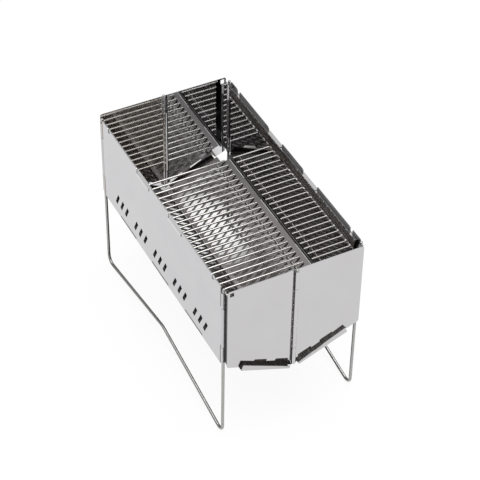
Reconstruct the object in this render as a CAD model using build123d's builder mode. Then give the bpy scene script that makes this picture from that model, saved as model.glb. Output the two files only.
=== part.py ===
"""Folding fire pit of polished stainless sheet and wire, standing open.

+X runs to the near end, +Y to the back and +Z up. The origin lies on the ground
under the middle of the pit. All sizes are in millimetres.
"""

import os
from math import atan, cos, degrees, radians, sin, sqrt, tan

from build123d import *

os.makedirs("parts", exist_ok=True)

# Overall sizes
LEG_HEIGHT = 127.0  # ground to the bed hinges at the foot of the long panels
WALL_HEIGHT = 128.6
CORNER_X = 178.4  # corner pins, which are the uprights of the leg frames
CORNER_Y = 93.4
SIDE_OUTER = 95.2  # outer faces of the long panels
END_OUTER = 187.4  # outer faces of the end panels, which stand out from their pins
SHEET = 1.0
RIM_Z = LEG_HEIGHT + WALL_HEIGHT

# Corner hinges
CORNER_BARREL = 3.1
LEG_WIRE = 2.0
CORNER_BORE = 2.05
OPEN_BORE = 2.3
CORNER_SPLITS = (31.5, 97.0)  # above the bed hinges
CORNER_FOOT = 5.5
CORNER_HEAD = 6.0  # below the rim
SPLIT_GAP = 0.4
EDGE_GAP = 0.5

# End panels, each of two halves on a hinge at the middle; a web at each outer edge
# leads back to the corner pin
END_INNER = END_OUTER - SHEET
END_EDGE_Y = 92.6
END_HINGE_X = 188.0
END_BARREL = 2.95
END_SPLITS = (-3.0, 98.0)
END_HINGE_FOOT = -32.0
END_HINGE_HEAD = 2.0  # below the rim
END_PIN = 1.5
END_BORE = 1.55
PIN_FOOT = 1.0
PIN_HEAD = 0.8
PIN_DOME = 1.0
EDGE_RISE = 10.0  # lower edge above the bed
EDGE_TO_Y = 71.0
FOOT_FROM_Y = 76.5
FOOT_RISE = 0.6
FOOT_ROUND = 3.0
NOTCHES = ((7.5, 26.0), (38.0, 56.0))
NOTCH_HEIGHT = 3.2
PORT_WIDTH = 5.4
PORT_HEIGHT = 7.0
PORT_Y = 87.0
PORT_DROP = 5.6

# Long panels
SIDE_INNER = SIDE_OUTER - SHEET
RIM_HOOK_RECESS = (28.6, 65.7)
RIM_SLIT = (150.0, 155.4)
RIM_DEPTH = 6.0
RIM_ROUND = 1.8
VENT_WIDTH = 5.4
VENT_LENGTH = 19.4
VENT_TILT = 27.0
VENT_Z = 24.3
VENT_PITCH = 14.72
VENT_GROUPS = 5

# Bed hinges
BED_BARREL = 2.6
BED_PIN = 1.3
BED_BORE = 1.36
BED_HINGE_Y = SIDE_OUTER - BED_BARREL
BED_HINGE_HALF = 173.0
BED_KNUCKLES = 7
KNUCKLE = 2 * BED_HINGE_HALF / BED_KNUCKLES

# Bed plates
BED_SLOPE = 22.1
SEAM_GAP = 0.8
HINGE_RELIEF = 0.5
NARROW_HALF = 170.0
WIDE_FROM_Y = 79.0
LIP_NEAR_Y = 7.0
LIP_FAR_Y = 75.0
LIP_NEAR_HEIGHT = 3.0  # from the middle of the sheet
LIP_FAR_HEIGHT = 8.0
FRONT_LIP_X = 191.2
BACK_LIP_X = 190.0
HEM_WIDTH = 5.0
MESH_PITCH = 10.9
MESH_FIRST_Y = 11.0
MESH_COLUMN = 10.5
MESH_COLUMNS = 7
MESH_LONG = 16.0
MESH_SHORT = 7.0
MESH_HALF_ROW = 15

# Liners
LINER_SHEET = 0.8
LINER_INNER = SIDE_OUTER - 6.6
LINER_HALF = 163.8
LINER_TOP_HALF = 168.0
LINER_FOOT = 12.0
LINER_BEND = 109.0
LINER_LEDGE = 2.0
HOOK_GAP = 0.3
HOOK_DROP = 3.6

# Leg frames
LEG_TOP = RIM_Z
FOOT_RADIUS = 11.0
BAR_RISE = 31.0
BAR_KINK_RADIUS = 24.0
DOME = 1.4

# Grate
ROD = 1.5
ROD_COUNT = 32
ROD_PITCH = 10.9
ROD_HALF = 82.5
ROD_REST_GAP = 0.3
GRATE_WIRE_Y = 71.0
WELD_BITE = 0.2

# Worked-out places
slope_tan = tan(radians(BED_SLOPE))
slope_cos = cos(radians(BED_SLOPE))
slope_sin = sin(radians(BED_SLOPE))
plate_rise = SHEET / 2 / slope_cos
corner_clear = sqrt(CORNER_BARREL**2 - (SIDE_INNER - CORNER_Y) ** 2) + EDGE_GAP
end_clear = sqrt(END_BARREL**2 - (END_HINGE_X - END_OUTER) ** 2) + EDGE_GAP


def bed_top(y):
    """Height of the bed plates' upper face at a distance y from the middle."""
    return LEG_HEIGHT - (BED_HINGE_Y - y) * slope_tan + plate_rise


def knuckle_span(low, high, first, last):
    """Ends of a knuckle, drawn back from a split that it shares with another."""
    start = low if first else low + SPLIT_GAP / 2
    end = high if last else high - SPLIT_GAP / 2
    return LEG_HEIGHT + start, LEG_HEIGHT + end


corner_low = knuckle_span(CORNER_FOOT, CORNER_SPLITS[0], True, False)
corner_middle = knuckle_span(*CORNER_SPLITS, False, False)
corner_high = knuckle_span(CORNER_SPLITS[1], WALL_HEIGHT - CORNER_HEAD, False, True)
end_low = knuckle_span(END_HINGE_FOOT, END_SPLITS[0], True, False)
end_middle = knuckle_span(*END_SPLITS, False, False)
end_high = knuckle_span(END_SPLITS[1], WALL_HEIGHT - END_HINGE_HEAD, False, True)


def upright_rod(x, y, span, radius):
    """A vertical cylinder between two heights."""
    with BuildPart() as rod:
        with BuildSketch(Plane.XY.offset(span[0])):
            with Locations((x, y)):
                Circle(radius)
        extrude(amount=span[1] - span[0])
    return rod.part


def long_rod(y, z, start, end, radius):
    """A cylinder along X between two stations."""
    with BuildPart() as rod:
        with BuildSketch(Plane.YZ.offset(start)):
            with Locations((y, z)):
                Circle(radius)
        extrude(amount=end - start)
    return rod.part


def knuckle_ends(index):
    """Start and end along X of one knuckle of a bed hinge."""
    start = -BED_HINGE_HALF + index * KNUCKLE
    low = start if index == 0 else start + SPLIT_GAP / 2
    high = start + KNUCKLE if index == BED_KNUCKLES - 1 else start + KNUCKLE - SPLIT_GAP / 2
    return low, high


# Long panels: castellated rim, slanted vents, a knuckle at each corner and four
# knuckles of the bed hinge along the foot
panel_half = CORNER_X - corner_clear
middle_height = corner_middle[1] - corner_middle[0]
middle_z = (corner_middle[0] + corner_middle[1]) / 2
vent_places = [
    ((4 * (group - VENT_GROUPS // 2) + place) * VENT_PITCH, LEG_HEIGHT + VENT_Z)
    for group in range(VENT_GROUPS)
    for place in (-1, 0, 1)
]
hook_width = RIM_HOOK_RECESS[1] - RIM_HOOK_RECESS[0]
hook_x = (RIM_HOOK_RECESS[0] + RIM_HOOK_RECESS[1]) / 2
slit_width = RIM_SLIT[1] - RIM_SLIT[0]
slit_x = (RIM_SLIT[0] + RIM_SLIT[1]) / 2
window_rise = BED_BARREL + 0.3

with BuildPart() as front_panel:
    with BuildSketch(Plane.XZ.offset(SIDE_INNER)) as face:
        with Locations((0, LEG_HEIGHT + WALL_HEIGHT / 2)):
            Rectangle(2 * panel_half, WALL_HEIGHT)
        with Locations((-hook_x, RIM_Z), (hook_x, RIM_Z)):
            Rectangle(hook_width, 2 * RIM_DEPTH, mode=Mode.SUBTRACT)
        with Locations((-slit_x, RIM_Z), (slit_x, RIM_Z)):
            Rectangle(slit_width, 2 * RIM_DEPTH, mode=Mode.SUBTRACT)
        fillet(face.vertices().group_by(Axis.Y)[-1], RIM_ROUND)
        with Locations((0, middle_z)):
            Rectangle(2 * CORNER_X, middle_height)
        with Locations(*vent_places):
            Rectangle(VENT_WIDTH, VENT_LENGTH, rotation=-VENT_TILT, mode=Mode.SUBTRACT)
        for index in range(1, BED_KNUCKLES, 2):
            with Locations((-BED_HINGE_HALF + (index + 0.5) * KNUCKLE, LEG_HEIGHT)):
                Rectangle(KNUCKLE, 2 * window_rise, mode=Mode.SUBTRACT)
    extrude(amount=SHEET)
    for side in (-1, 1):
        add(upright_rod(side * CORNER_X, -CORNER_Y, corner_middle, CORNER_BARREL))
    for index in range(0, BED_KNUCKLES, 2):
        add(long_rod(-BED_HINGE_Y, LEG_HEIGHT, *knuckle_ends(index), BED_BARREL))
    for side in (-1, 1):
        add(upright_rod(side * CORNER_X, -CORNER_Y, corner_middle, CORNER_BORE), mode=Mode.SUBTRACT)
    add(long_rod(-BED_HINGE_Y, LEG_HEIGHT, -BED_HINGE_HALF, BED_HINGE_HALF, BED_BORE), mode=Mode.SUBTRACT)
front_panel.part.label = "front_panel"

with BuildPart() as back_panel:
    add(front_panel.part.rotate(Axis.Z, 180))
back_panel.part.label = "back_panel"

# Liners: an inner wall in front of the vents, leaning out to a narrow ledge below the
# rim, where two hooks pass over the recesses and down the outside
lean_top = RIM_Z - RIM_DEPTH + HOOK_GAP
lean_outer = SIDE_INNER - HOOK_GAP
hook_out = SIDE_OUTER + HOOK_GAP + LINER_SHEET
hook_top = lean_top + LINER_SHEET
lean_run = lean_outer - LINER_SHEET - LINER_LEDGE - LINER_INNER
bend_z = LEG_HEIGHT + LINER_BEND

with BuildPart() as front_liner:
    with BuildSketch(Plane.XZ.offset(LINER_INNER)):
        with Locations((0, (LEG_HEIGHT + LINER_FOOT + bend_z) / 2)):
            Rectangle(2 * LINER_HALF, bend_z - LEG_HEIGHT - LINER_FOOT)
    extrude(amount=LINER_SHEET)
    with BuildSketch(Plane.YZ):
        with BuildLine():
            Polyline(
                (-LINER_INNER, bend_z),
                (-LINER_INNER - lean_run, lean_top),
                (-lean_outer, lean_top),
                (-lean_outer, lean_top - LINER_SHEET),
                (-LINER_INNER - lean_run - LINER_SHEET, lean_top - LINER_SHEET),
                (-LINER_INNER - LINER_SHEET, bend_z),
                close=True,
            )
        make_face()
    extrude(amount=LINER_TOP_HALF, both=True)
    with BuildSketch(Plane.YZ) as hook_profile:
        with BuildLine():
            Polyline(
                (-LINER_INNER - lean_run, lean_top),
                (-LINER_INNER - lean_run, hook_top),
                (-hook_out, hook_top),
                (-hook_out, hook_top - LINER_SHEET - HOOK_DROP),
                (-hook_out + LINER_SHEET, hook_top - LINER_SHEET - HOOK_DROP),
                (-hook_out + LINER_SHEET, lean_top),
                close=True,
            )
        make_face()
    hook_strip = extrude(amount=LINER_TOP_HALF, both=True, mode=Mode.PRIVATE)
    for side in (-1, 1):
        with BuildSketch(Plane.XY.offset(LEG_HEIGHT + LINER_BEND)):
            with Locations((side * hook_x, -SIDE_OUTER)):
                Rectangle(hook_width - 2 * HOOK_GAP, 20)
        hook_block = extrude(amount=30, mode=Mode.PRIVATE)
        add(hook_strip & hook_block)
front_liner.part.label = "front_liner"

with BuildPart() as back_liner:
    add(front_liner.part.rotate(Axis.Z, 180))
back_liner.part.label = "back_liner"


def end_half(side, own_spans, other_spans, corner_bore):
    """One half of the near end panel, on the front (side -1) or the back (side 1)."""
    web_height = corner_high[1] - corner_low[0]
    web_z = (corner_high[1] + corner_low[0]) / 2
    web_depth = END_OUTER - CORNER_X
    with BuildPart() as half:
        with BuildSketch(Plane.YZ.offset(END_INNER)) as face:
            with BuildLine():
                Polyline(
                    (0, RIM_Z),
                    (0, bed_top(0) + EDGE_RISE),
                    (side * EDGE_TO_Y, bed_top(EDGE_TO_Y) + EDGE_RISE),
                    (side * FOOT_FROM_Y, bed_top(FOOT_FROM_Y) + FOOT_RISE),
                    (side * END_EDGE_Y, bed_top(END_EDGE_Y) + FOOT_RISE),
                    (side * END_EDGE_Y, RIM_Z),
                    close=True,
                )
            make_face()
            outer_corners = face.vertices().filter_by_position(Axis.X, *sorted((side * 92, side * 93)))
            fillet(outer_corners, FOOT_ROUND)
            for low, high in other_spans:
                reach = high + 10 if high > RIM_Z - 10 else high + SPLIT_GAP
                with Locations((0, (low - SPLIT_GAP + reach) / 2)):
                    Rectangle(2 * end_clear, reach - low + SPLIT_GAP, mode=Mode.SUBTRACT)
            for low, high in NOTCHES:
                middle = (low + high) / 2
                with Locations((side * middle, bed_top(middle) + EDGE_RISE)):
                    RectangleRounded(
                        (high - low) / slope_cos,
                        2 * NOTCH_HEIGHT,
                        1.5,
                        rotation=side * BED_SLOPE,
                        mode=Mode.SUBTRACT,
                    )
            if side < 0:
                with Locations((side * PORT_Y, RIM_Z - PORT_DROP)):
                    Rectangle(PORT_WIDTH, PORT_HEIGHT, mode=Mode.SUBTRACT)
        extrude(amount=SHEET)
        with BuildSketch(Plane.XZ.offset(-side * END_EDGE_Y)):
            with Locations((CORNER_X + web_depth / 2, web_z)):
                Rectangle(web_depth, web_height)
            with Locations((CORNER_X, middle_z)):
                Rectangle(2 * corner_clear, middle_height + 2 * SPLIT_GAP, mode=Mode.SUBTRACT)
        extrude(amount=side * SHEET)
        for span in own_spans:
            add(upright_rod(END_HINGE_X, 0, span, END_BARREL))
        for span in (corner_low, corner_high):
            add(upright_rod(CORNER_X, side * CORNER_Y, span, CORNER_BARREL))
        for low, high in own_spans:
            bore_span = (low, high + END_HINGE_HEAD)
            add(upright_rod(END_HINGE_X, 0, bore_span, END_BORE), mode=Mode.SUBTRACT)
        for span in (corner_low, corner_high):
            add(upright_rod(CORNER_X, side * CORNER_Y, span, corner_bore), mode=Mode.SUBTRACT)
    return half.part


outer_knuckles = (end_low, end_high)
middle_knuckle = (end_middle,)

with BuildPart() as near_end_front_half:
    add(end_half(-1, outer_knuckles, middle_knuckle, CORNER_BORE))
near_end_front_half.part.label = "near_end_front_half"

with BuildPart() as near_end_back_half:
    add(end_half(1, middle_knuckle, outer_knuckles, CORNER_BORE))
near_end_back_half.part.label = "near_end_back_half"

with BuildPart() as far_end_front_half:
    add(end_half(1, middle_knuckle, outer_knuckles, CORNER_BORE).rotate(Axis.Z, 180))
far_end_front_half.part.label = "far_end_front_half"

with BuildPart() as far_end_back_half:
    add(end_half(-1, outer_knuckles, middle_knuckle, OPEN_BORE).rotate(Axis.Z, 180))
far_end_back_half.part.label = "far_end_back_half"


def end_pin(x):
    """Hinge wire of an end panel, with a rounded head just above the rim."""
    span = (LEG_HEIGHT + END_HINGE_FOOT - PIN_FOOT, RIM_Z + PIN_HEAD)
    with BuildPart() as pin:
        add(upright_rod(x, 0, span, END_PIN))
        fillet(pin.edges().group_by(Axis.Z)[-1], PIN_DOME)
    return pin.part


with BuildPart() as near_end_hinge_pin:
    add(end_pin(END_HINGE_X))
near_end_hinge_pin.part.label = "near_end_hinge_pin"

with BuildPart() as far_end_hinge_pin:
    add(end_pin(-END_HINGE_X))
far_end_hinge_pin.part.label = "far_end_hinge_pin"


# Bed plates: drawn flat on a sloping plane that runs from the hinge down to the seam
plate_reach = (BED_HINGE_Y - SEAM_GAP) / slope_cos
wide_from = (BED_HINGE_Y - WIDE_FROM_Y) / slope_cos
lip_from = (BED_HINGE_Y - LIP_FAR_Y) / slope_cos
lip_to = (BED_HINGE_Y - LIP_NEAR_Y) / slope_cos
sheet_from = BED_BARREL + HINGE_RELIEF


def bed_plate(lip_x):
    """The front bed plate with tapered end lips whose inner faces stand at lip_x."""
    hinge_plane = Plane(
        (0, -BED_HINGE_Y, LEG_HEIGHT),
        x_dir=(1, 0, 0),
        z_dir=(0, slope_sin, slope_cos),
    )
    wide_half = lip_x + SHEET
    with BuildPart() as plate:
        with BuildSketch(hinge_plane.offset(-SHEET / 2)):
            with Locations((0, (sheet_from + plate_reach) / 2)):
                Rectangle(2 * NARROW_HALF, plate_reach - sheet_from)
            with Locations((0, (wide_from + plate_reach) / 2)):
                Rectangle(2 * (END_OUTER - 2.2), plate_reach - wide_from)
            with Locations((0, (lip_from + lip_to) / 2)):
                Rectangle(2 * wide_half, lip_to - lip_from)
            for index in range(1, BED_KNUCKLES, 2):
                start, end = knuckle_ends(index)
                with Locations(((start + end) / 2, sheet_from / 2 + 1.0)):
                    Rectangle(end - start, sheet_from)
            for column in range(MESH_COLUMNS):
                row_y = MESH_FIRST_Y + column * MESH_COLUMN
                reach = (BED_HINGE_Y - row_y) / slope_cos
                shift = MESH_PITCH / 2 if column % 2 else 0.0
                steps = range(-MESH_HALF_ROW - column % 2, MESH_HALF_ROW + 1)
                long_half = MESH_LONG / slope_cos / 2
                short_half = MESH_SHORT / 2
                diamond = ((-short_half, 0), (0, -long_half), (short_half, 0), (0, long_half))
                with Locations(*[(step * MESH_PITCH + shift, reach) for step in steps]):
                    Polygon(*diamond, align=None, mode=Mode.SUBTRACT)
        extrude(amount=SHEET)
        with BuildSketch(hinge_plane.offset(SHEET / 2)):
            with Locations((0, plate_reach - HEM_WIDTH / 2)):
                Rectangle(2 * (END_INNER - 4.0), HEM_WIDTH)
        extrude(amount=SHEET)
        for start in (-wide_half, lip_x):
            with BuildSketch(
                Plane((start, -BED_HINGE_Y, LEG_HEIGHT), x_dir=(0, slope_cos, -slope_sin), z_dir=(1, 0, 0))
            ):
                Polygon(
                    (lip_from, -SHEET / 2),
                    (lip_to, -SHEET / 2),
                    (lip_to, LIP_NEAR_HEIGHT),
                    (lip_from, LIP_FAR_HEIGHT),
                    align=None,
                )
            extrude(amount=SHEET)
        for index in range(1, BED_KNUCKLES, 2):
            add(long_rod(-BED_HINGE_Y, LEG_HEIGHT, *knuckle_ends(index), BED_BARREL))
        add(long_rod(-BED_HINGE_Y, LEG_HEIGHT, -BED_HINGE_HALF, BED_HINGE_HALF, BED_BORE), mode=Mode.SUBTRACT)
    return plate.part


with BuildPart() as front_bed_plate:
    add(bed_plate(FRONT_LIP_X))
front_bed_plate.part.label = "front_bed_plate"

with BuildPart() as back_bed_plate:
    add(bed_plate(BACK_LIP_X).rotate(Axis.Z, 180))
back_bed_plate.part.label = "back_bed_plate"

# Bed hinge pins
with BuildPart() as front_bed_hinge_pin:
    add(long_rod(-BED_HINGE_Y, LEG_HEIGHT, -BED_HINGE_HALF, BED_HINGE_HALF, BED_PIN))
front_bed_hinge_pin.part.label = "front_bed_hinge_pin"

with BuildPart() as back_bed_hinge_pin:
    add(long_rod(BED_HINGE_Y, LEG_HEIGHT, -BED_HINGE_HALF, BED_HINGE_HALF, BED_PIN))
back_bed_hinge_pin.part.label = "back_bed_hinge_pin"

# Leg frames: one wire each, down one corner, along the ground in a shallow peak and
# up the next corner; the bend of each foot rests on the ground
bar_angle = atan(BAR_RISE / CORNER_X)
foot_tangent = FOOT_RADIUS / tan(radians(45) - bar_angle / 2)
foot_corner_z = LEG_WIRE + FOOT_RADIUS - foot_tangent


def leg_frame(y):
    """A leg frame standing in the plane of its long panel's corner pins."""
    with BuildPart() as frame:
        with BuildLine() as path:
            FilletPolyline(
                (CORNER_X, y, LEG_TOP),
                (CORNER_X, y, foot_corner_z),
                (0, y, foot_corner_z + BAR_RISE),
                (-CORNER_X, y, foot_corner_z),
                (-CORNER_X, y, LEG_TOP),
                radius=(FOOT_RADIUS, BAR_KINK_RADIUS, FOOT_RADIUS),
            )
        with BuildSketch(Plane((CORNER_X, y, LEG_TOP), z_dir=(0, 0, -1))):
            Circle(LEG_WIRE)
        sweep(path=path.wire())
        tops = frame.edges().filter_by(GeomType.CIRCLE).group_by(Axis.Z)[-1]
        fillet(tops, DOME)
    return frame.part


with BuildPart() as front_leg_frame:
    add(leg_frame(-CORNER_Y))
front_leg_frame.part.label = "front_leg_frame"

with BuildPart() as back_leg_frame:
    add(leg_frame(CORNER_Y))
back_leg_frame.part.label = "back_leg_frame"

# Grate: rods across the bed with a long wire welded under them at each side
rod_z = bed_top(ROD_HALF) + ROD_REST_GAP + ROD
grate_wire_z = rod_z - 2 * ROD + WELD_BITE
grate_half = (ROD_COUNT - 1) / 2 * ROD_PITCH

with BuildPart() as grate_rods:
    with BuildSketch(Plane.XZ.offset(-ROD_HALF)):
        with Locations((0, rod_z)):
            with GridLocations(ROD_PITCH, 0, ROD_COUNT, 1):
                Circle(ROD)
    extrude(amount=2 * ROD_HALF)
grate_rods.part.label = "grate_rods"

with BuildPart() as grate_front_wire:
    add(long_rod(-GRATE_WIRE_Y, grate_wire_z, -grate_half - ROD, grate_half + ROD, ROD))
grate_front_wire.part.label = "grate_front_wire"

with BuildPart() as grate_back_wire:
    add(long_rod(GRATE_WIRE_Y, grate_wire_z, -grate_half - ROD, grate_half + ROD, ROD))
grate_back_wire.part.label = "grate_back_wire"

pieces = (
    front_panel,
    back_panel,
    front_liner,
    back_liner,
    near_end_front_half,
    near_end_back_half,
    far_end_front_half,
    far_end_back_half,
    near_end_hinge_pin,
    far_end_hinge_pin,
    front_leg_frame,
    back_leg_frame,
    front_bed_plate,
    back_bed_plate,
    front_bed_hinge_pin,
    back_bed_hinge_pin,
    grate_rods,
    grate_front_wire,
    grate_back_wire,
)
for piece in pieces:
    export_step(piece.part, f"parts/{piece.part.label}.step")
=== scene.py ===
# %% [markdown]
# # A folding fire pit of polished stainless steel
#
# This script dresses the measured model of a folding fire pit. The sheet walls, the
# pierced bed, the rod grate and the wire legs come from that model, which also says
# what turns and slides. Here they get their finishes, the small details that a welder
# and a wire cutter leave, a camera, light and a floor.

# %% Load the measured model
from math import cos, radians, sin

import bmesh
import bpy
from mathutils import Matrix, Vector


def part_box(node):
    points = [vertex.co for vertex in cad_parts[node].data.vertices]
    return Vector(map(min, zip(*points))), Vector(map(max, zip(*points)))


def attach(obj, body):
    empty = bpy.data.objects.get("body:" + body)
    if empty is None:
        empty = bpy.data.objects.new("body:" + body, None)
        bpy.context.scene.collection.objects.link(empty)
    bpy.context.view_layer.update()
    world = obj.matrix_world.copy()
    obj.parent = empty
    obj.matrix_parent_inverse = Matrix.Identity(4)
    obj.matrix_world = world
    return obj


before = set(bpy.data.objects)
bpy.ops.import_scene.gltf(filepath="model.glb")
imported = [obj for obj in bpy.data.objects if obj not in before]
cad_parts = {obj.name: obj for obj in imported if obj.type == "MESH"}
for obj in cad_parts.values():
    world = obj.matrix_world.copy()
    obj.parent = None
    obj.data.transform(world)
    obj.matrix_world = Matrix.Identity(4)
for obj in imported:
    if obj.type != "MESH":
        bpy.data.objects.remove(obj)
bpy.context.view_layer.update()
MM = 0.001
scene = bpy.context.scene
print("nodes:", len(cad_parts))

# %% [markdown]
# The pit is seen from above its near corner through a long lens, so its edges hardly
# converge. A camera could be turned until the view looks right, but it is easier to check
# when the way it points is written down: a heading, a downward tilt and a small roll.
# From these come three directions at right angles, which are the camera's own axes.

# %% Place the camera
CAMERA_PLACE = Vector((1489.6, -760.0, 1689.1)) * MM
CAMERA_HEADING = radians(152.348)
CAMERA_DOWN = radians(42.644)
CAMERA_ROLL = radians(1.004)
FRAME_PIXELS = 480.0
FOCAL_PIXELS = 1742.6
SENSOR_WIDTH = 36.0
SIGHT_LIMIT = 20.0

aim = Vector(
    (
        cos(CAMERA_HEADING) * cos(CAMERA_DOWN),
        sin(CAMERA_HEADING) * cos(CAMERA_DOWN),
        -sin(CAMERA_DOWN),
    )
)
level_right = aim.cross(Vector((0, 0, 1))).normalized()
level_up = level_right.cross(aim)
right = level_right * cos(CAMERA_ROLL) + level_up * sin(CAMERA_ROLL)
up = level_up * cos(CAMERA_ROLL) - level_right * sin(CAMERA_ROLL)
camera_turn = Matrix((right, up, -aim)).transposed().to_4x4()

camera_data = bpy.data.cameras.new("photo_camera")
camera_data.sensor_width = SENSOR_WIDTH
camera_data.lens = FOCAL_PIXELS / FRAME_PIXELS * SENSOR_WIDTH
camera_data.clip_end = SIGHT_LIMIT
camera = bpy.data.objects.new("photo_camera", camera_data)
camera.matrix_world = Matrix.Translation(CAMERA_PLACE) @ camera_turn
scene.collection.objects.link(camera)
scene.camera = camera
print("lens, mm:", round(camera_data.lens, 1))

# %% [markdown]
# Every finish is a small tree of nodes. One function adds a node, sets its values and
# links its inputs. Another turns the usual hex colours into the linear numbers that the
# renderer works with. Patterns are placed by object coordinates, in metres, so they stay
# on a piece when it turns, and their sizes can be written as real sizes.


# %% Helpers for finishes
def linear(hex_colour):
    """Turn an sRGB hex colour such as C8C8C6 into linear red, green, blue, alpha."""
    values = []
    for start in (0, 2, 4):
        level = int(hex_colour[start : start + 2], 16) / 255
        values.append(level / 12.92 if level <= 0.04045 else ((level + 0.055) / 1.055) ** 2.4)
    return (*values, 1.0)


def add_node(tree, kind, inputs=None, **settings):
    """Add a node; an input is given a value, or an output socket to link from."""
    node = tree.nodes.new(kind)
    for name, value in settings.items():
        setattr(node, name, value)
    for name, value in (inputs or {}).items():
        if isinstance(value, bpy.types.NodeSocket):
            tree.links.new(value, node.inputs[name])
        else:
            node.inputs[name].default_value = value
    return node


def new_finish(name):
    """A material with an empty tree, that tree, and the piece's object coordinates."""
    material = bpy.data.materials.new(name)
    material.use_nodes = True
    tree = material.node_tree
    tree.nodes.clear()
    place = add_node(tree, "ShaderNodeTexCoord").outputs["Object"]
    return material, tree, place


def per_mm(size):
    """Noise scale that makes features about the given size in millimetres."""
    return 1.0 / (size * MM)


print("sRGB 808080 is linear", round(linear("808080")[0], 3))

# %% [markdown]
# The walls are bright annealed stainless sheet: rolled between polished rolls, so it
# works as a mirror that is slightly uneven. Three things tell it from a perfect mirror.
# The sheet is a little wavy over a hand's width, it has fine lines along the rolling
# direction, and fingers and packing leave a faint haze that comes and goes. A picture of
# scratches could show these, but it would need the sheet unwrapped. Three noises at
# three sizes do it on any piece. Real rolling lines are far finer than the ones here,
# which are drawn as coarse as they need to be to show.

# %% Marks on a rolled sheet
# Each mark has its size in millimetres, then how much finer detail its noise has.
LINES = (1.2, 2.0)
SMUDGES = (45.0, 3.0)
WAVES = (120.0, 1.0)
LINE_STRETCH = 0.04


def sheet_marks(tree, place, rolled_along):
    """Noise for the rolling lines, the smudges and the slow waves of a sheet."""
    stretch = [1.0, 1.0, 1.0]
    stretch[rolled_along] = LINE_STRETCH
    drawn_out = add_node(tree, "ShaderNodeMapping", {"Vector": place, "Scale": stretch}).outputs["Vector"]
    marks = []
    for where, (size, detail) in ((drawn_out, LINES), (place, SMUDGES), (place, WAVES)):
        inputs = {"Vector": where, "Scale": per_mm(size), "Detail": detail}
        marks.append(add_node(tree, "ShaderNodeTexNoise", inputs).outputs["Fac"])
    return marks


print("lines, smudges and waves, mm:", LINES[0], SMUDGES[0], WAVES[0])

# %% [markdown]
# The smudges mix two greys of the sheet. Over them may lie layers of another colour,
# some of them painted light, and last a dark painted shade in the gaps, crevices and
# hidden places where little light comes. These could be painted on by hand, but paint
# belongs to one mesh and is lost when the model is built again. Here a finish is told
# where they lie by a function, which gives a share between 0 and 1 for each place on the piece.

# %% Colour of a sheet
SMUDGED_SHEET = "C9C8C9"
STREAKS = {"From Min": 0.3, "From Max": 0.7, "To Min": 0.55, "To Max": 1.0}


def sheet_colour(tree, smudges, colours, layers):
    """Two greys mixed by the smudges, with each layer's colour over its own share."""
    clean, smudged = (linear(colour) for colour in colours)
    tint = add_node(tree, "ShaderNodeMixRGB", {"Fac": smudges, "Color1": clean, "Color2": smudged})
    for share, colour in layers:
        under = tint.outputs["Color"]
        tint = add_node(tree, "ShaderNodeMixRGB", {"Fac": share, "Color1": under, "Color2": linear(colour)})
    return tint.outputs["Color"]


def streaked(tree, lines, painted_shade_share):
    """The painted shade's share, made thinner in streaks along the rolling lines."""
    streaks = add_node(tree, "ShaderNodeMapRange", {"Value": lines, **STREAKS}).outputs["Result"]
    painted_shade = add_node(tree, "ShaderNodeMath", {0: painted_shade_share, 1: streaks}, operation="MULTIPLY")
    return painted_shade.outputs[0]


print("film at its thinnest:", STREAKS["To Min"])

# %% [markdown]
# Haze is roughness: how far a mirrored edge is blurred. It could be one number, but then
# the sheet would look too even to be real. It is higher where the smudges and the
# rolling lines are, and highest where the painted shade lies, which mirrors only a blur.

# %% Haze of a sheet
SMUDGES_START = 0.35
SMUDGES_FULL = 0.7
SMUDGED_HAZE = 2.0
LINED_HAZE = 0.5
SHADE_HAZE = 0.3


def sheet_haze(tree, lines, smudges, haze, painted_shade_share):
    """The sheet's own haze, with what the smudges, the lines and the painted shade add to it."""
    smudged = {
        "Value": smudges,
        "From Min": SMUDGES_START,
        "From Max": SMUDGES_FULL,
        "To Min": haze,
        "To Max": haze * SMUDGED_HAZE,
    }
    rough = add_node(tree, "ShaderNodeMapRange", smudged).outputs["Result"]
    for share, amount in ((lines, haze * LINED_HAZE), (painted_shade_share, SHADE_HAZE)):
        inputs = {0: share, 1: amount, 2: rough}
        rough = add_node(tree, "ShaderNodeMath", inputs, operation="MULTIPLY_ADD").outputs[0]
    return rough


print("haze that the film adds:", SHADE_HAZE)

# %% [markdown]
# Waves and lines also tilt the surface a little, which bends what the sheet mirrors. The
# waves could be real geometry, but they are only about a tenth of a millimetre high over
# a hand's width, so a bump is enough, and the outline of the piece stays straight.

# %% Bright annealed sheet
WAVE_DEPTH = 2.0
LINE_DEPTH = 0.2
LINE_TILT = 0.3


def bright_sheet(name, colours, haze, wave, rolled_along, painted_shade, tints=()):
    """Rolled sheet; the painted shade and each tint pair where they lie with their colour."""
    material, tree, place = new_finish(name)
    lines, smudges, waves = sheet_marks(tree, place, rolled_along)
    # The dark layer is painted shade, laid where light hardly reaches.
    shade_where, shade_colour = painted_shade
    painted_shade_share = shade_where(tree, place)
    layers = [(where(tree, place), colour) for where, colour in tints]
    layers.append((streaked(tree, lines, painted_shade_share), shade_colour))
    sway = add_node(
        tree,
        "ShaderNodeBump",
        {"Height": waves, "Strength": wave, "Distance": WAVE_DEPTH * MM},
    )
    fine = add_node(
        tree,
        "ShaderNodeBump",
        {
            "Height": lines,
            "Strength": haze * LINE_TILT,
            "Distance": LINE_DEPTH * MM,
            "Normal": sway.outputs["Normal"],
        },
    )
    metal = add_node(
        tree,
        "ShaderNodeBsdfPrincipled",
        {
            "Base Color": sheet_colour(tree, smudges, colours, layers),
            "Metallic": 1.0,
            "Roughness": sheet_haze(tree, lines, smudges, haze, painted_shade_share),
            "Normal": fine.outputs["Normal"],
        },
    )
    add_node(tree, "ShaderNodeOutputMaterial", {"Surface": metal.outputs["BSDF"]})
    return material


print("bump distances, mm:", WAVE_DEPTH, LINE_DEPTH)
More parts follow.
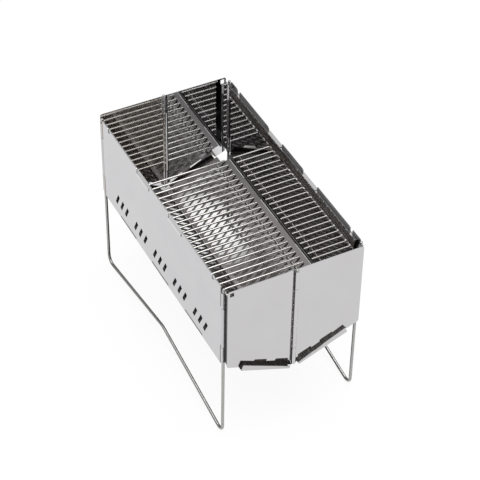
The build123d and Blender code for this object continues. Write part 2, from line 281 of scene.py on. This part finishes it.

# %% [markdown]
# Now the places where painted shade and tints lie. They could be picked face by face, but a few
# comparisons of the coordinates do it, and they read like a drawing. The pit is nearly
# the same at both sides and both ends, so most use the distance from the long middle
# plane, |y|, or from the cross middle plane, |x|. Sizes are in millimetres, and a pair
# such as (92, 3) means 92 mm, and 3 mm either way. The first places are on the liner:
# its hidden back, which lies in shadow and is painted dark as painted shade, and its
# leaning top, which takes the same dark brown.

# %% Painted shade on the liners
LINER_BACK_Y = (92.0, 3.0)
LINER_LEDGE_Z = 249.4


def in_band(socket, band):
    """Inputs for a comparison that gives 1 within a band, its middle and reach in mm."""
    middle, reach = band
    return {0: socket, 1: middle * MM, 2: reach * MM}


# Painted shade: the liner's back, in shadow behind the wall, and its leaning top are painted dark brown.
def behind_liner(tree, place):
    """The liner's hidden back and its leaning top, up to the ledge below the rim."""
    axes = add_node(tree, "ShaderNodeSeparateXYZ", {"Vector": place}).outputs
    depth = add_node(tree, "ShaderNodeMath", {0: axes["Y"]}, operation="ABSOLUTE").outputs[0]
    back = add_node(tree, "ShaderNodeMath", in_band(depth, LINER_BACK_Y), operation="COMPARE")
    below = add_node(tree, "ShaderNodeMath", {0: axes["Z"], 1: LINER_LEDGE_Z * MM}, operation="LESS_THAN")
    both = add_node(tree, "ShaderNodeMath", {0: back.outputs[0], 1: below.outputs[0]}, operation="MULTIPLY")
    return both.outputs[0]


print("liner film, mm:", LINER_BACK_Y, "below", LINER_LEDGE_Z)

# %% [markdown]
# A wall's inner face stands close behind the liner, in shadow, so it is painted dark as
# painted shade too. At the corners a thin dark line of painted shade runs down the wall's
# upright edge, in the corner crevice, except where the wall's own knuckle grows out of it.

# %% Painted shade on the walls
WALL_INNER_Y = 94.6
WALL_EDGE_X = (174.1, 0.9)
WALL_KNUCKLE_Z = (191.25, 32.9)
WALL_SHADE = 0.9


# Painted shade: the hidden inner face, and a dark line in each corner crevice.
def inside_wall(tree, place):
    """A long wall's inner face, and its upright edges beside the ends' knuckles."""
    axes = add_node(tree, "ShaderNodeSeparateXYZ", {"Vector": place}).outputs
    out = add_node(tree, "ShaderNodeMath", {0: axes["X"]}, operation="ABSOLUTE").outputs[0]
    depth = add_node(tree, "ShaderNodeMath", {0: axes["Y"]}, operation="ABSOLUTE").outputs[0]
    inner = add_node(tree, "ShaderNodeMath", {0: depth, 1: WALL_INNER_Y * MM}, operation="LESS_THAN")
    edge = add_node(tree, "ShaderNodeMath", in_band(out, WALL_EDGE_X), operation="COMPARE")
    own = add_node(tree, "ShaderNodeMath", in_band(axes["Z"], WALL_KNUCKLE_Z), operation="COMPARE")
    line = add_node(tree, "ShaderNodeMath", {0: edge.outputs[0], 1: own.outputs[0]}, operation="SUBTRACT")
    both = add_node(tree, "ShaderNodeMath", {0: inner.outputs[0], 1: line.outputs[0]}, operation="MAXIMUM")
    share = add_node(tree, "ShaderNodeMath", {0: both.outputs[0], 1: WALL_SHADE}, operation="MULTIPLY")
    return share.outputs[0]


print("wall film within, mm:", WALL_INNER_Y)

# %% [markdown]
# The bed plates are pierced and bent. Their ends run out under the end panels, in deep
# shadow, and are painted dark there as painted shade. The lips that stand up beyond the
# near end are painted pale as lit sheet, and the hems beside the middle seam partly so,
# as painted light.

# %% Painted shade and painted light on the bed plates
NEAR_GAP_X = (183.8, 6.3)
FAR_GAP_X = -185.5
NEAR_LIP_X = 190.2
HEM_Y = 6.0
HEM_LIGHT = 0.4


# Painted shade: both plate ends, in shadow under the end panels, are painted near black.
def plate_ends(tree, place):
    """Both ends of a bed plate, in the gaps under the end panels' lower edges."""
    axes = add_node(tree, "ShaderNodeSeparateXYZ", {"Vector": place}).outputs
    near = add_node(tree, "ShaderNodeMath", in_band(axes["X"], NEAR_GAP_X), operation="COMPARE")
    far = add_node(tree, "ShaderNodeMath", {0: axes["X"], 1: FAR_GAP_X * MM}, operation="LESS_THAN")
    covered = add_node(tree, "ShaderNodeMath", {0: near.outputs[0], 1: far.outputs[0]}, operation="MAXIMUM")
    return covered.outputs[0]


# Painted light: the near lip and, in part, the seam hems are painted pale, as lit sheet.
def plate_edges(tree, place):
    """The lip at the near end, painted pale as lit sheet, and the hem beside the seam, partly so."""
    axes = add_node(tree, "ShaderNodeSeparateXYZ", {"Vector": place}).outputs
    depth = add_node(tree, "ShaderNodeMath", {0: axes["Y"]}, operation="ABSOLUTE").outputs[0]
    lip = add_node(tree, "ShaderNodeMath", {0: axes["X"], 1: NEAR_LIP_X * MM}, operation="GREATER_THAN")
    hem = add_node(tree, "ShaderNodeMath", {0: depth, 1: HEM_Y * MM}, operation="LESS_THAN")
    lit_hem = add_node(tree, "ShaderNodeMath", {0: hem.outputs[0], 1: HEM_LIGHT}, operation="MULTIPLY")
    share = add_node(tree, "ShaderNodeMath", {0: lip.outputs[0], 1: lit_hem.outputs[0]}, operation="MAXIMUM")
    return share.outputs[0]


print("clean lips past, mm:", NEAR_LIP_X)

# %% [markdown]
# An end panel stands out from its corner wires on a narrow web, and that web and the
# groove beside the middle hinge lie in shadow and are painted dark as painted shade. The
# two ends are one shape turned half round, so the groove lies at -y at one end and at +y
# at the other: y times the sign of x is the same for both. The face that looks at the
# fire can take a colour of its own.

# %% Painted shade and inner colours on the end panels
END_EDGE_Y = 92.57
END_WEB_X = (184.0, 3.1)
HINGE_GROOVE_Y = (-3.7, 1.3)
END_INNER_X = 186.9


# Painted shade: the web and the hinge groove are painted dark where they lie in shadow.
def end_crevices(tree, place):
    """The web behind an end panel's outer edge, and the groove beside the hinge."""
    axes = add_node(tree, "ShaderNodeSeparateXYZ", {"Vector": place}).outputs
    out = add_node(tree, "ShaderNodeMath", {0: axes["X"]}, operation="ABSOLUTE").outputs[0]
    depth = add_node(tree, "ShaderNodeMath", {0: axes["Y"]}, operation="ABSOLUTE").outputs[0]
    edge = add_node(tree, "ShaderNodeMath", {0: depth, 1: END_EDGE_Y * MM}, operation="GREATER_THAN")
    back = add_node(tree, "ShaderNodeMath", in_band(out, END_WEB_X), operation="COMPARE")
    web = add_node(tree, "ShaderNodeMath", {0: edge.outputs[0], 1: back.outputs[0]}, operation="MULTIPLY")
    way = add_node(tree, "ShaderNodeMath", {0: axes["X"]}, operation="SIGN").outputs[0]
    side = add_node(tree, "ShaderNodeMath", {0: axes["Y"], 1: way}, operation="MULTIPLY").outputs[0]
    groove = add_node(tree, "ShaderNodeMath", in_band(side, HINGE_GROOVE_Y), operation="COMPARE")
    both = add_node(tree, "ShaderNodeMath", {0: web.outputs[0], 1: groove.outputs[0]}, operation="MAXIMUM")
    return both.outputs[0]


def inner_face(tree, place):
    """The side of an end panel that faces the fire."""
    axes = add_node(tree, "ShaderNodeSeparateXYZ", {"Vector": place}).outputs
    out = add_node(tree, "ShaderNodeMath", {0: axes["X"]}, operation="ABSOLUTE").outputs[0]
    inner = add_node(tree, "ShaderNodeMath", {0: out, 1: END_INNER_X * MM}, operation="LESS_THAN")
    return inner.outputs[0]


print("heated faces within, mm:", END_INNER_X)

# %% [markdown]
# Walls, liners and bed plates were all rolled lengthwise. One finish could serve all
# three, but they differ: the liner is the clearest mirror, the walls are handled, and the
# bed lies in the fire, deep in the pit, and is painted dark as painted shade.

# %% Finishes of the walls, liners and bed
ALONG_X = 0
ALONG_Y = 1

# A cool grey with some haze, so what the walls mirror has soft edges.
wall_finish = bright_sheet(
    "bright_annealed_wall_sheet",
    colours=("B8B7BA", SMUDGED_SHEET),
    haze=0.06,
    wave=0.08,
    rolled_along=ALONG_X,
    # Painted shade on the wall's inner face and in its corner crevices.
    painted_shade=(inside_wall, "2A2624"),
)
# The clearest mirror, in which the grate and the end panels are seen again.
liner_finish = bright_sheet(
    "bright_annealed_liner_sheet",
    colours=("D2D2D2", SMUDGED_SHEET),
    haze=0.012,
    wave=0.03,
    rolled_along=ALONG_X,
    # Painted shade: the liner's hidden back and leaning top are painted dark brown.
    painted_shade=(behind_liner, "4A3F36"),
)
# Dull, and painted dark as painted shade for a bed that lies deep in the pit, so the bright rods above it
# stand out.
bed_finish = bright_sheet(
    "pierced_bed_sheet",
    colours=("7E7B7A", "7E7B7A"),
    haze=0.12,
    wave=0.10,
    rolled_along=ALONG_X,
    # Painted shade: the plate ends under the end panels are painted near black.
    painted_shade=(plate_ends, "1C1917"),
    # Painted light: the near lip and the seam hems are painted pale, as lit sheet.
    tints=((plate_edges, "C4C3C4"),),
)
print("long sheets:", wall_finish.name, liner_finish.name, bed_finish.name)

# %% [markdown]
# The end panels were rolled across the pit. They differ only on the faces that look at
# the fire, and only at the far end, where one half is a little darker with a faint straw
# tint and the other is brighter. Two copies of the finish with one more layer are simpler
# than one finish that asks which half it is on.

# %% Finishes of the end panels
END_COLOURS = ("C2C0C1", SMUDGED_SHEET)
# Painted shade for the end panels' web and hinge groove.
END_SHADE = (end_crevices, "26221F")
END_WAVE = 0.04

# A clear grey mirror with dark lines of painted shade in its corners.
end_finish = bright_sheet(
    "bright_annealed_end_sheet",
    colours=END_COLOURS,
    haze=0.02,
    wave=END_WAVE,
    rolled_along=ALONG_Y,
    painted_shade=END_SHADE,
)
# The same, and a little darker and warmer inside.
straw_end_finish = bright_sheet(
    "end_sheet_with_straw_tint_inside",
    colours=END_COLOURS,
    haze=0.02,
    wave=END_WAVE,
    rolled_along=ALONG_Y,
    painted_shade=END_SHADE,
    tints=((inner_face, "BDB9B5"),),
)
# The same, and paler inside.
paler_end_finish = bright_sheet(
    "end_sheet_paler_inside",
    colours=END_COLOURS,
    haze=0.018,
    wave=END_WAVE,
    rolled_along=ALONG_Y,
    painted_shade=END_SHADE,
    tints=((inner_face, "D8D8DA"),),
)
print("ends:", end_finish.name, straw_end_finish.name, paler_end_finish.name)

# %% [markdown]
# The legs, hinge pins and grate are drawn stainless wire. Pulling wire through a die
# scores it, so it is bright but softer than the sheet. Lines along the wire would have to
# follow its bends, and on wire 3 or 4 mm thick they can't be told apart. So one noise of
# about half the wire's width, which is much coarser than the real scores, gives the
# uneven grey, haze and dents that the eye does see.

# %% Drawn wire
SCORE_SIZE = 2.0
SCORE_DETAIL = 3.0
SCORE_DEPTH = 0.2
SCORE_TILT = 0.06
HAZE_SPREAD = 0.06
WORN_WIRE = "C4C3C1"


def drawn_wire(name, colour, haze):
    """Drawn wire, its colour partly worn to a paler grey and its haze uneven."""
    material, tree, place = new_finish(name)
    inputs = {"Vector": place, "Scale": per_mm(SCORE_SIZE), "Detail": SCORE_DETAIL}
    scores = add_node(tree, "ShaderNodeTexNoise", inputs).outputs["Fac"]
    rough = add_node(
        tree,
        "ShaderNodeMapRange",
        {"Value": scores, "To Min": haze - HAZE_SPREAD, "To Max": haze + HAZE_SPREAD},
    )
    tint = add_node(
        tree,
        "ShaderNodeMixRGB",
        {"Fac": scores, "Color1": linear(colour), "Color2": linear(WORN_WIRE)},
    )
    dents = add_node(
        tree,
        "ShaderNodeBump",
        {"Height": scores, "Strength": SCORE_TILT, "Distance": SCORE_DEPTH * MM},
    )
    metal = add_node(
        tree,
        "ShaderNodeBsdfPrincipled",
        {
            "Base Color": tint.outputs["Color"],
            "Metallic": 1.0,
            "Roughness": rough.outputs["Result"],
            "Normal": dents.outputs["Normal"],
        },
    )
    add_node(tree, "ShaderNodeOutputMaterial", {"Surface": metal.outputs["BSDF"]})
    return material


# The legs are the darkest wire, so they stand clear of the bright walls.
leg_finish = drawn_wire("drawn_leg_wire", "858483", haze=0.24)
# The rods are the clearest wire, with a thin bright line along each.
rod_finish = drawn_wire("drawn_grate_wire", "B8B4B0", haze=0.20)
# Hinge wires are pale with a broad soft shine.
pin_finish = drawn_wire("drawn_hinge_wire", "B8B6B4", haze=0.26)
# A weld's heat tint is brown and dull, so the beads read as dark specks.
weld_finish = drawn_wire("welds_with_heat_tint", "5C4F45", haze=0.34)
print("wire finishes:", leg_finish.name, rod_finish.name, pin_finish.name, weld_finish.name)

# %% [markdown]
# The measured pieces keep their own meshes, so dressing one is only a matter of filling
# its material slots. The finish could be chosen by what a piece moves with, but a wire
# and a sheet often move together, so a list by piece is clearer.

# %% Give each measured piece its finish
finish_of = {
    "front_panel": wall_finish,
    "back_panel": wall_finish,
    "front_liner": liner_finish,
    "back_liner": liner_finish,
    "near_end_front_half": end_finish,
    "near_end_back_half": end_finish,
    "far_end_front_half": straw_end_finish,
    "far_end_back_half": paler_end_finish,
    "near_end_hinge_pin": pin_finish,
    "far_end_hinge_pin": pin_finish,
    "front_leg_frame": leg_finish,
    "back_leg_frame": leg_finish,
    "front_bed_plate": bed_finish,
    "back_bed_plate": bed_finish,
    "front_bed_hinge_pin": pin_finish,
    "back_bed_hinge_pin": pin_finish,
    "grate_rods": rod_finish,
    "grate_front_wire": rod_finish,
    "grate_back_wire": rod_finish,
}
for node_name, finish in finish_of.items():
    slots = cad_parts[node_name].material_slots
    for slot in slots:
        slot.material = finish
    print(node_name, "slots:", len(slots))

# %% [markdown]
# Each rod of the grate is welded to the two long wires that it crosses. The crossings
# could be typed in, but they follow from what the model says: the box round the rods
# gives their first and last place, and the box round one wire gives its distance from
# the middle.

# %% Where the rods are welded
ROD_RADIUS = 1.5 * MM
ROD_COUNT = 32
grate_low, grate_high = (Vector(corner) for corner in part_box("grate_rods"))
wire_low, wire_high = (Vector(corner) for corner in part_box("grate_back_wire"))
rod_level = (grate_low.z + grate_high.z) / 2
wire_y = (wire_low.y + wire_high.y) / 2
first_rod = grate_low.x + ROD_RADIUS
rod_pitch = (grate_high.x - grate_low.x - 2 * ROD_RADIUS) / (ROD_COUNT - 1)
rod_places = [first_rod + index * rod_pitch for index in range(ROD_COUNT)]
print("rods:", len(rod_places), "pitch, mm:", round(rod_pitch / MM, 2))

# %% [markdown]
# A quick weld leaves a low bead, and the wire cutter leaves the rod ends slightly domed.
# They could be sculpted one by one, but each is only a few millimetres across, so a
# squashed sphere with a few dozen faces is enough. All the beads make one piece and all
# the ends another, and both move with the grate.

# %% Weld beads and rod ends
BEAD_REACH = Vector((2.1, 2.0, 1.1)) * MM
BEAD_DROP = 1.45 * MM
DOME_HEIGHT = 0.6 * MM


def blobs(name, places, reach, finish):
    """One piece made of squashed spheres at the given places, moving with the grate."""
    shape = bmesh.new()
    for place in places:
        bmesh.ops.create_uvsphere(
            shape,
            u_segments=10,
            v_segments=6,
            radius=1.0,
            matrix=Matrix.Translation(place) @ Matrix.Diagonal((*reach, 1.0)),
        )
    bmesh.ops.recalc_face_normals(shape, faces=shape.faces)
    for face in shape.faces:
        face.smooth = True
    mesh = bpy.data.meshes.new(name)
    shape.to_mesh(mesh)
    shape.free()
    mesh.materials.append(finish)
    piece = bpy.data.objects.new(name, mesh)
    scene.collection.objects.link(piece)
    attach(piece, "grate")
    return piece


bead_places = [(x, side * wire_y, rod_level - BEAD_DROP) for x in rod_places for side in (-1, 1)]
end_places = [(x, y, rod_level) for x in rod_places for y in (grate_low.y, grate_high.y)]
beads = blobs("grate_weld_beads", bead_places, BEAD_REACH, weld_finish)
rod_ends = blobs("grate_rod_ends", end_places, (ROD_RADIUS, DOME_HEIGHT, ROD_RADIUS), rod_finish)
print("faces in the beads and the rod ends:", len(beads.data.polygons), len(rod_ends.data.polygons))

# %% [markdown]
# The floor is a plain pale board that runs far past the pit. A sheet that curves up
# behind the pit could hide the horizon, but the backdrop is as white as the board, so
# one flat face is enough.

# %% The board
BOARD_REACH = 6.0
floor_mesh = bpy.data.meshes.new("floor")
floor_shape = bmesh.new()
bmesh.ops.create_grid(floor_shape, x_segments=1, y_segments=1, size=BOARD_REACH)
floor_shape.to_mesh(floor_mesh)
floor_shape.free()
floor = bpy.data.objects.new("floor", floor_mesh)
scene.collection.objects.link(floor)
board, tree, place = new_finish("matt_white_board")
floor_mesh.materials.append(board)
print("board faces:", len(floor_mesh.polygons), "reach, m:", BOARD_REACH)

# %% [markdown]
# Under the pit hardly any light comes in, and the board is dark there, behind the bed's
# slots. One soft lamp overhead doesn't make it dark enough, so the board's own material
# darkens too, with soft borders. The eye looks down through the slots and the metal
# mirrors the board from elsewhere, so they meet the dark board in different places, and
# there are two shades. Each is given by where it starts, is full, is still full, and
# stops, along x and along y.

# %% Shade under the pit
SEEN_X = (-400.0, -230.0, 40.0, 82.0)
SEEN_Y = (-38.0, -12.0, 100.0, 200.0)
MIRRORED_X = (-365.0, -300.0, 150.0, 195.0)
MIRRORED_Y = (-125.0, -95.0, 110.0, 170.0)


def open_board(x_steps, y_steps):
    """0 where hardly any light comes in, rising to 1 on the open board."""
    axes = add_node(tree, "ShaderNodeSeparateXYZ", {"Vector": place}).outputs
    shade = None
    for axis, (starts, full, still_full, stops) in (("X", x_steps), ("Y", y_steps)):
        for light, dark in ((starts, full), (stops, still_full)):
            fade = add_node(
                tree,
                "ShaderNodeMapRange",
                {"Value": axes[axis], "From Min": light * MM, "From Max": dark * MM},
                interpolation_type="SMOOTHSTEP",
            ).outputs["Result"]
            if shade is None:
                shade = fade
            else:
                both = add_node(tree, "ShaderNodeMath", {0: shade, 1: fade}, operation="MULTIPLY")
                shade = both.outputs[0]
    return add_node(tree, "ShaderNodeMath", {0: 1.0, 1: shade}, operation="SUBTRACT").outputs[0]


open_seen = open_board(SEEN_X, SEEN_Y)
open_mirrored = open_board(MIRRORED_X, MIRRORED_Y)
print("shade that is seen, mm:", SEEN_X, SEEN_Y)

# %% [markdown]
# One oval pool of light lies in the shade, under the bed's far end, and makes the slots
# above it gleam. A spot lamp could throw it, but that lamp would light the pit as well
# and show in its mirrors, so the pool belongs to the board's material too. Dividing by
# its reach turns the oval into a circle, in which one distance gives its soft border.

# %% Pool of light
POOL_PLACE = Vector((-176.0, 64.0)) * MM
POOL_REACH = Vector((62.0, 40.0)) * MM
POOL_OUTSIDE = 1.7
POOL_INSIDE = 0.3

from_pool = add_node(tree, "ShaderNodeVectorMath", {0: place, 1: (*POOL_PLACE, 0.0)}, operation="SUBTRACT")
in_pool = add_node(
    tree,
    "ShaderNodeVectorMath",
    {0: from_pool.outputs[0], 1: (1 / POOL_REACH.x, 1 / POOL_REACH.y, 1.0)},
    operation="MULTIPLY",
)
pool_distance = add_node(tree, "ShaderNodeVectorMath", {0: in_pool.outputs[0]}, operation="LENGTH")
pool = add_node(
    tree,
    "ShaderNodeMapRange",
    {"Value": pool_distance.outputs["Value"], "From Min": POOL_OUTSIDE, "From Max": POOL_INSIDE},
    interpolation_type="SMOOTHSTEP",
)
lit_seen = add_node(
    tree,
    "ShaderNodeMath",
    {0: open_seen, 1: pool.outputs["Result"]},
    operation="MAXIMUM",
)
print("pool reach, mm:", tuple(round(value / MM) for value in POOL_REACH))

# %% [markdown]
# The board is matt paint mixed with plain white light. More light on the board would
# also make it white, but it would burn out the pit. The light goes only to rays from the
# camera and from mirrors, which the Light Path node tells apart. Other rays meet paint
# alone, and the tenth of paint that is left in the mix keeps the pit's own soft shadow.

# %% Board material
SHADED_PAINT = "5A5856"
OPEN_PAINT = "F8F8F8"
GLOW_SHARE = 0.9

path = add_node(tree, "ShaderNodeLightPath").outputs
lit = add_node(
    tree,
    "ShaderNodeMix",
    {"Factor": path["Is Camera Ray"], "A": open_mirrored, "B": lit_seen.outputs[0]},
).outputs[0]
board_colour = add_node(
    tree,
    "ShaderNodeMixRGB",
    {"Fac": lit, "Color1": linear(SHADED_PAINT), "Color2": linear(OPEN_PAINT)},
)
paint = add_node(tree, "ShaderNodeBsdfDiffuse", {"Color": board_colour.outputs["Color"]})
glow = add_node(tree, "ShaderNodeEmission", {"Color": (1, 1, 1, 1), "Strength": 1.0})
looked_at = add_node(
    tree,
    "ShaderNodeMath",
    {0: path["Is Camera Ray"], 1: path["Is Glossy Ray"]},
    operation="MAXIMUM",
)
glow_share = add_node(tree, "ShaderNodeMath", {0: looked_at.outputs[0], 1: GLOW_SHARE}, operation="MULTIPLY")
share = add_node(tree, "ShaderNodeMath", {0: glow_share.outputs[0], 1: lit}, operation="MULTIPLY")
mix = add_node(
    tree,
    "ShaderNodeMixShader",
    {"Fac": share.outputs[0], 1: paint.outputs["BSDF"], 2: glow.outputs["Emission"]},
)
add_node(tree, "ShaderNodeOutputMaterial", {"Surface": mix.outputs["Shader"]})
print("board nodes:", len(tree.nodes))

# %% [markdown]
# Studio light: bright overhead, where wide soft boxes hang, and dim from there down to
# the horizon, where the room is dark. A ring of lamps could do this, but a mirror would
# show each of them, and a sky that fades is smooth. The upright walls mirror the white
# board, while the bed and the inside mirror the dim room, which is what makes the bright
# rods stand out from the dark gaps between them. The camera itself sees a white backdrop.

# %% World
DIM_UP_TO = 0.45
BRIGHT_FROM = 0.8
DIM_LEVEL = 0.3
BRIGHT_LEVEL = 1.2

world = bpy.data.worlds.new("studio")
world.use_nodes = True
sky_tree = world.node_tree
sky_tree.nodes.clear()
toward = add_node(sky_tree, "ShaderNodeTexCoord").outputs["Generated"]
height = add_node(sky_tree, "ShaderNodeSeparateXYZ", {"Vector": toward}).outputs["Z"]
fade_up = {
    "Value": height,
    "From Min": DIM_UP_TO,
    "From Max": BRIGHT_FROM,
    "To Min": DIM_LEVEL,
    "To Max": BRIGHT_LEVEL,
}
fade = add_node(sky_tree, "ShaderNodeMapRange", fade_up)
sky_path = add_node(sky_tree, "ShaderNodeLightPath").outputs
level = add_node(
    sky_tree,
    "ShaderNodeMix",
    {"Factor": sky_path["Is Camera Ray"], "A": fade.outputs["Result"], "B": 1.0},
)
backdrop = {"Color": (1, 1, 1, 1), "Strength": level.outputs["Result"]}
sky = add_node(sky_tree, "ShaderNodeBackground", backdrop)
add_node(sky_tree, "ShaderNodeOutputWorld", {"Surface": sky.outputs["Background"]})
scene.world = world
print("sky, dim and bright:", DIM_LEVEL, BRIGHT_LEVEL)

# %% [markdown]
# A sky alone gives hardly any shadow, so one soft box is a real lamp. A small lamp would
# draw hard shadows of every rod. This one is 1.6 m wide and hangs almost straight above
# the pit, so its shadows are short and soft.

# %% Overhead soft box
SOFTBOX_PLACE = Vector((0.1, 0.05, 1.9))
SOFTBOX_TARGET = Vector((0, 0, 0.1))
SOFTBOX_SIZE = 1.6
SOFTBOX_POWER = 24.0

softbox_data = bpy.data.lights.new("overhead_softbox", "AREA")
softbox_data.size = SOFTBOX_SIZE
softbox_data.energy = SOFTBOX_POWER
softbox = bpy.data.objects.new("overhead_softbox", softbox_data)
softbox_turn = (SOFTBOX_TARGET - SOFTBOX_PLACE).to_track_quat("-Z", "Y").to_matrix().to_4x4()
softbox.matrix_world = Matrix.Translation(SOFTBOX_PLACE) @ softbox_turn
scene.collection.objects.link(softbox)
scene.view_settings.view_transform = "Standard"
